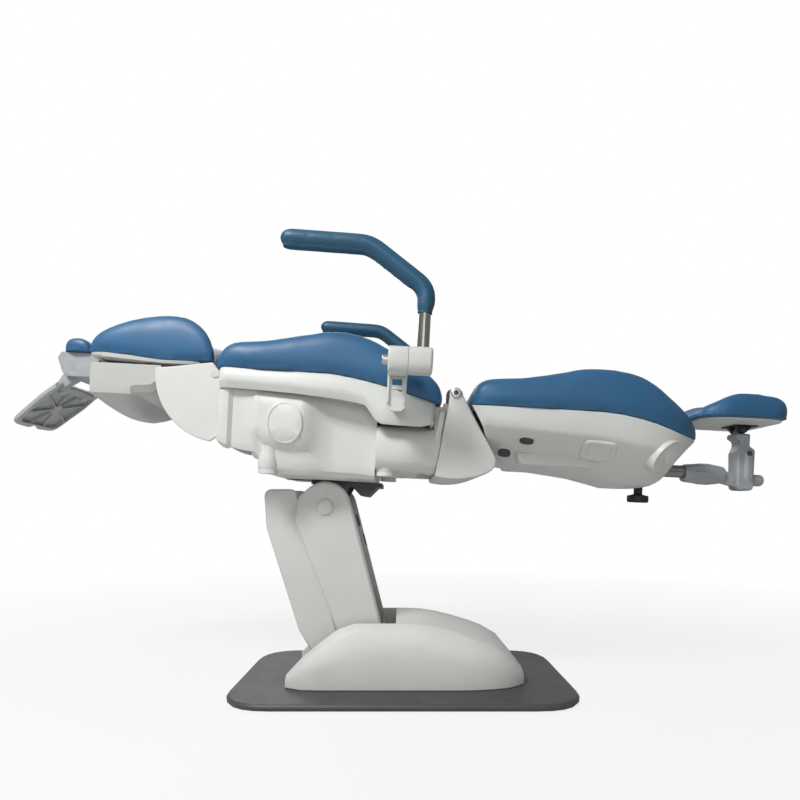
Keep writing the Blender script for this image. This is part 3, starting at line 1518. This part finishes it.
pan_low = through(
    [(-0.626, 0.364), (-0.60, 0.356), (-0.50, 0.350), (-0.43, 0.347), (-0.36, 0.346), (-0.335, 0.346)]
)
pan_half = through(
    [(-0.626, 0.168), (-0.612, 0.184), (-0.580, 0.190), (-0.360, 0.190), (-0.335, 0.183)]
)


def pan_section(u):
    wide, low, high = pan_half(u), pan_low(u), leg_seam(u) - FIT
    return [
        (0, low), (wide - 0.012, low), (wide - 0.003, 0.6 * low + 0.4 * high), (wide, high),
        (0, high),
    ]


leg_pan = keep(
    loft("leg_pan", [-0.626, -0.612] + LEG_STEPS[:-1] + [-0.335], pan_section), SHELL, LEG_AXES
)

LEG_DECK = 0.3305
for side, sign in (("near", -1), ("far", 1)):
    ends = sorted((sign * 0.098, sign * 0.130))
    join(
        leg_pan, box("pan_foot_" + side, -0.560, -0.460, *ends, LEG_DECK + FIT, pan_low(-0.560) + 0.003)
    )

LEG_SHELL_TOP = 0.3435
leg_low = through(
    [
        (-0.623, 0.286), (-0.617, 0.254), (-0.606, 0.235), (-0.590, 0.226), (-0.568, 0.220),
        (-0.548, 0.217), (-0.532, 0.221), (-0.518, 0.234), (-0.508, 0.251), (-0.500, 0.259),
        (-0.456, 0.263),
        (-0.430, 0.284),
    ]
)
leg_wide = through(
    [(-0.623, 0.176), (-0.615, 0.186), (-0.597, LEG_SHELL_HALF), (-0.430, LEG_SHELL_HALF)]
)
leg_narrow = through(
    [
        (-0.623, 0.174), (-0.615, 0.184), (-0.597, 0.191), (-0.516, 0.191), (-0.502, 0.182),
        (-0.430, 0.180),
    ]
)


def leg_section(u, inset=0.0, rise=0.0):
    low, wide, thin = leg_low(u) + inset, leg_wide(u) - inset, leg_narrow(u) - inset
    step = max(0.266, low + 0.012)
    deep = step - low
    return [
        (0, low),
        (0.28 * thin, low + 0.09 * deep),
        (0.54 * thin, low + 0.31 * deep),
        (0.78 * thin, low + 0.58 * deep),
        (0.94 * thin, low + 0.83 * deep),
        (thin, step),
        (wide, step + 0.018),
        (wide, LEG_SHELL_TOP + rise),
        (0, LEG_SHELL_TOP + rise),
    ]


leg_shell_places = [
    -0.623, -0.617, -0.606, -0.590, -0.568, -0.548, -0.532, -0.518, -0.508, -0.500, -0.456, -0.440, -0.430
]
leg_shell = keep(loft("leg_shell", leg_shell_places, leg_section), SHELL, LEG_AXES)
cut(leg_shell, loft("leg_hollow", leg_shell_places[2:-1], lambda u: leg_section(u, LEG_WALL, 0.05)))
cut(leg_shell, box("leg_opening", -0.46, -0.40, -0.187, 0.187, 0.290, 0.40))

leg_arm = hull([(LEG_PIVOT_U, LEG_PIVOT_W, 0.012), (-0.46, 0.317, 0.012)], 16)
leg_frame = keep(box("leg_frame", -0.590, -0.442, -0.150, 0.150, 0.3225, LEG_DECK), FRAME, LEG_AXES)
join(leg_frame, box("leg_tie", -0.472, -0.400, -0.182, 0.182, 0.3055, 0.3265))
for side, sign in (("near", -1), ("far", 1)):
    ends = sorted((sign * 0.174, sign * 0.1865))
    join(leg_frame, prism("leg_arm_" + side, leg_arm, *ends))
cut(leg_frame, rod("leg_arm_hole", "Y", LEG_PIN_RADIUS + HOLE, -0.3, 0.3, (LEG_PIVOT_U, LEG_PIVOT_W)))


# Foot section

end_side = rounded(
    [
        (-0.6370, 0.3865, 0.002), (-0.742, 0.3865, 0.006), (-0.751, 0.370, 0.01),
        (-0.737, 0.332, 0.012), (-0.724, 0.320, 0.006), (-0.6238, 0.320, 0.002),
        (-0.6238, 0.345, 0.002), (-0.6370, 0.360, 0.002),
    ]
)
end_bracket = prism("end_bracket", end_side, -0.105, 0.105)
round_edges(end_bracket, 0.003, 1, 50)
keep(end_bracket, GREY, LEG_AXES)
lug = hull([(FOOT_PIVOT_U, FOOT_PIVOT_W, 0.010), (-0.728, 0.330, 0.012), (-0.700, 0.324, 0.006)], 14)
for side, low, high in (("near", -0.088, -0.066), ("far", 0.066, 0.088)):
    join(end_bracket, prism("foot_lug_" + side, lug, low, high))
cut(
    end_bracket,
    rod("lug_hole", "Y", FOOT_PIN_RADIUS + HOLE, -0.2, 0.2, (FOOT_PIVOT_U, FOOT_PIVOT_W), 14),
)
keep(
    rod("foot_pin", "Y", FOOT_PIN_RADIUS, -0.097, 0.097, (FOOT_PIVOT_U, FOOT_PIVOT_W), 14),
    STEEL,
    LEG_AXES,
)

end_low = 0.387
end_top = through(
    [
        (-0.736, 0.398), (-0.732, 0.412), (-0.721, 0.423), (-0.705, 0.428), (-0.685, 0.428),
        (-0.668, 0.422), (-0.658, 0.410), (-0.653, 0.396),
    ]
)
end_half = through(
    [
        (-0.736, 0.106), (-0.727, 0.118), (-0.710, END_HALF_WIDTH), (-0.672, END_HALF_WIDTH),
        (-0.653, 0.116),
    ]
)
keep(
    cushion(
        "end_pad",
        [-0.736, -0.732, -0.721, -0.705, -0.688, -0.672, -0.660, -0.653],
        end_top,
        lambda u: end_low,
        end_half,
        lambda u: 0.003,
    ),
    VINYL,
    LEG_AXES,
)

# The footplate is drawn flat, hinge at the origin, then turned to its angle
plate_outline = rounded(
    [
        (-0.011, -FOOT_HALF_WIDTH + 0.006, 0.012),
        (0.050, -FOOT_HALF_WIDTH, 0.03),
        (FOOT_LENGTH, -FOOT_HALF_WIDTH + 0.010, 0.030),
        (FOOT_LENGTH + 0.004, -0.020, 0.01),
        (FOOT_LENGTH - 0.006, -0.012, 0.005),
        (FOOT_LENGTH - 0.006, 0.012, 0.005),
        (FOOT_LENGTH + 0.004, 0.020, 0.01),
        (FOOT_LENGTH, FOOT_HALF_WIDTH - 0.010, 0.030),
        (0.050, FOOT_HALF_WIDTH, 0.03),
        (-0.011, FOOT_HALF_WIDTH - 0.006, 0.012),
    ],
    4,
)
PLATE_LIFT = 0.008


def lay_flat(obj, low):
    """Turns a prism drawn along Y so that it lies flat with its underside at a height."""
    obj.data.transform(Matrix.Translation((0, 0, low)) @ Matrix.Rotation(math.pi / 2, 4, "X"))
    return obj


footplate = lay_flat(prism("footplate", plate_outline, 0, FOOT_RIM), PLATE_LIFT - FOOT_RIM)
round_edges(footplate, 0.004, 1, 60)
scoop = rounded(
    [
        (0.014, -FOOT_HALF_WIDTH + 0.010, 0.012),
        (FOOT_LENGTH - 0.014, -FOOT_HALF_WIDTH + 0.018, 0.024),
        (FOOT_LENGTH - 0.014, FOOT_HALF_WIDTH - 0.018, 0.024),
        (0.014, FOOT_HALF_WIDTH - 0.010, 0.012),
    ]
)
UNDER = PLATE_LIFT - FOOT_RIM
keep(footplate, SHELL, FOOT_AXES)
cutter = lay_flat(prism("foot_scoop", scoop, 0, FOOT_RIM - FOOT_THICK), UNDER)
cutter.data.transform(Matrix.Translation((0, 0, -0.0001)))
pieces = [cutter]
cut(footplate, cutter)
HUB_AT = 0.080
hub = rod("foot_hub", "Z", FOOT_HUB, UNDER + 0.001, PLATE_LIFT - FOOT_THICK + 0.001, (HUB_AT, 0.0), 24)
pieces.append(hub)
join(footplate, hub)
for i in range(FOOT_RIBS):
    turn = 2 * math.pi * (i + 0.5) / FOOT_RIBS
    reach_x = (FOOT_LENGTH - 0.010 - HUB_AT) if math.cos(turn) > 0 else (HUB_AT - 0.011)
    reach_y = FOOT_HALF_WIDTH - 0.012
    reach = min(reach_x / max(1e-6, abs(math.cos(turn))), reach_y / max(1e-6, abs(math.sin(turn))))
    rib = box(
        "foot_rib_%d" % i,
        FOOT_HUB * 0.6,
        reach,
        -FOOT_RIB / 2,
        FOOT_RIB / 2,
        UNDER + 0.002,
        PLATE_LIFT - FOOT_THICK + 0.001,
    )
    rib.data.transform(Matrix.Translation((HUB_AT, 0, 0)) @ Matrix.Rotation(turn, 4, "Z"))
    pieces.append(rib)
    join(footplate, rib)
for side, low, high in (("near", -0.0655, -0.040), ("far", 0.040, 0.0655)):
    knuckle = prism(
        "foot_knuckle_" + side,
        hull([(0, 0, 0.010), (0.020, PLATE_LIFT - 0.0075, 0.0065)], 14),
        low,
        high,
    )
    pieces.append(knuckle)
    join(footplate, knuckle)
for side, low, high in (("near", -0.0895, -0.0645), ("far", 0.0645, 0.0895)):
    gap = box("foot_gap_" + side, -0.03, 0.0125, low, high, -0.03, 0.03)
    pieces.append(gap)
    cut(footplate, gap)
bore = rod("foot_bore", "Y", FOOT_PIN_RADIUS + HOLE, -0.2, 0.2, (0, 0), 14)
pieces.append(bore)
cut(footplate, bore)
TO_PLACE = Matrix.Translation(
    (FOOT_PIVOT_U, 0, FOOT_PIVOT_W)
) @ Matrix.Rotation(-FOOT_ANGLE, 4, "Y") @ Matrix.Rotation(math.pi, 4, "X")
for piece in [footplate] + pieces:
    piece.data.transform(TO_PLACE)


# Armrests


def pad_path():
    """The padded tube's middle line with a swelling radius at each end."""
    line = rounded(
        [
            (-0.086, ARM_SHAFT_W + 0.2705, 0),
            (0.104, ARM_SHAFT_W + 0.2665, 0.075),
            (POST_U + 0.004, ARM_SHAFT_W + 0.1680, 0.07),
            (POST_U, POST_FOOT + 0.080, 0),
        ],
        6,
    )
    start, stop = line[0], line[-1]
    path = [
        (start[0] - ARM_PAD_RADIUS * 0.98, start[1], 0.16),
        (start[0] - ARM_PAD_RADIUS * 0.85, start[1], 0.53),
        (start[0] - ARM_PAD_RADIUS * 0.5, start[1], 0.86),
    ]
    path += [(x, z, 1.0) for x, z in line[:-1]]
    path += [
        (stop[0], stop[1] + 0.018, 0.98), (stop[0], stop[1] + 0.010, 0.90),
        (stop[0], stop[1], 0.78),
    ]
    return path


for side, sign in (("near", -1), ("far", 1)):
    axes = ARMREST_AXES[side]
    curve = bpy.data.curves.new("armrest_pad_" + side, "CURVE")
    curve.dimensions = "3D"
    curve.bevel_depth = ARM_PAD_RADIUS
    curve.bevel_resolution = 4
    curve.use_fill_caps = True
    spline = curve.splines.new("POLY")
    path = pad_path()
    spline.points.add(len(path) - 1)
    for point, (x, z, size) in zip(spline.points, path):
        point.co = (x, sign * ARM_Y, z, 1)
        point.radius = size
    pad = bpy.data.objects.new("armrest_pad_" + side, meshed("armrest_pad_" + side, curve))
    keep(pad, VINYL, axes)
    cut(
        pad,
        rod(
            "pad_bore_" + side,
            "Z",
            POST_RADIUS + FIT,
            POST_FOOT,
            POST_TOP + FIT,
            (POST_U, sign * ARM_Y),
        ),
    )
    keep(
        rod("armrest_post_" + side, "Z", POST_RADIUS, POST_FOOT, POST_TOP, (POST_U, sign * ARM_Y)),
        STEEL,
        axes,
    )

    y0, y1 = sorted((sign * (ARM_Y - ARM_BLOCK_HALF), sign * (ARM_Y + ARM_BLOCK_HALF)))
    block_side = rounded(
        [
            (0.2072, ARM_SHAFT_W - 0.030, 0), (0.263, ARM_SHAFT_W - 0.030, 0.014),
            (0.263, POST_FOOT - FIT, 0.008), (0.2072, POST_FOOT - FIT, 0),
        ]
    )
    block = prism("armrest_block_" + side, block_side, y0, y1)
    round_edges(block, 0.003, 1, 50)
    keep(block, SHELL, axes)
    cut(
        block,
        rod(
            "block_bore_" + side,
            "X",
            ARM_SHAFT_RADIUS + HOLE,
            0.15,
            0.246,
            (sign * ARM_Y, ARM_SHAFT_W),
            14,
        ),
    )

    head_side = rounded(
        [
            (0.159, BRACKET_FOOT_W, 0.018),
            (0.205, BRACKET_FOOT_W, 0.018),
            (0.2065, ARM_SHAFT_W + 0.030, 0.006),
            (0.196, ARM_SHAFT_W + 0.036, 0.006),
            (0.170, ARM_SHAFT_W + 0.036, 0.006),
            (0.158, ARM_SHAFT_W + 0.026, 0.006),
        ]
    )
    out = sorted((sign * 0.290, sign * 0.302))
    bracket = keep(prism("armrest_bracket_" + side, head_side, *out), SHELL, SEAT_AXES)
    head = rounded(
        [
            (0.159, ARM_SHAFT_W - 0.030, 0.008), (0.2065, ARM_SHAFT_W - 0.030, 0),
            (0.2065, ARM_SHAFT_W + 0.030, 0), (0.159, ARM_SHAFT_W + 0.030, 0.008),
        ]
    )
    ends = sorted((sign * 0.296, sign * (ARM_Y + ARM_BLOCK_HALF - 0.002)))
    join(bracket, prism("bracket_head_" + side, head, *ends))
    reach = sorted((sign * (TRAY_HALF_WIDTH + 0.0036), sign * 0.296))
    join(
        bracket, rod("bracket_boss_" + side, "Y", BRACKET_BOSS_RADIUS, *reach, (0.182, BRACKET_BOSS_W))
    )
    span = ARM_SHAFT_W - 0.030 - BRACKET_BOSS_W
    for k, share in enumerate((0.36, 0.80)):
        window = sorted((sign * 0.27, sign * 0.33))
        high = BRACKET_BOSS_W + share * span
        tall = 0.14 * span
        cut(bracket, box("window_%d_%s" % (k, side), 0.170, 0.194, *window, high - tall, high + tall))
    cut(
        bracket,
        rod(
            "shaft_hole_" + side,
            "X",
            ARM_SHAFT_RADIUS + HOLE,
            0.1,
            0.3,
            (sign * ARM_Y, ARM_SHAFT_W),
            14,
        ),
    )
    shaft = [
        (0, 0.244),
        (ARM_SHAFT_RADIUS, 0.244),
        (ARM_SHAFT_RADIUS, 0.159 - FIT),
        (0.012, 0.159 - FIT),
        (0.012, 0.147),
        (0.010, 0.144),
        (0, 0.144),
    ]
    keep(turned("armrest_shaft_" + side, "X", shaft, (sign * ARM_Y, ARM_SHAFT_W), 14), STEEL, SEAT_AXES)
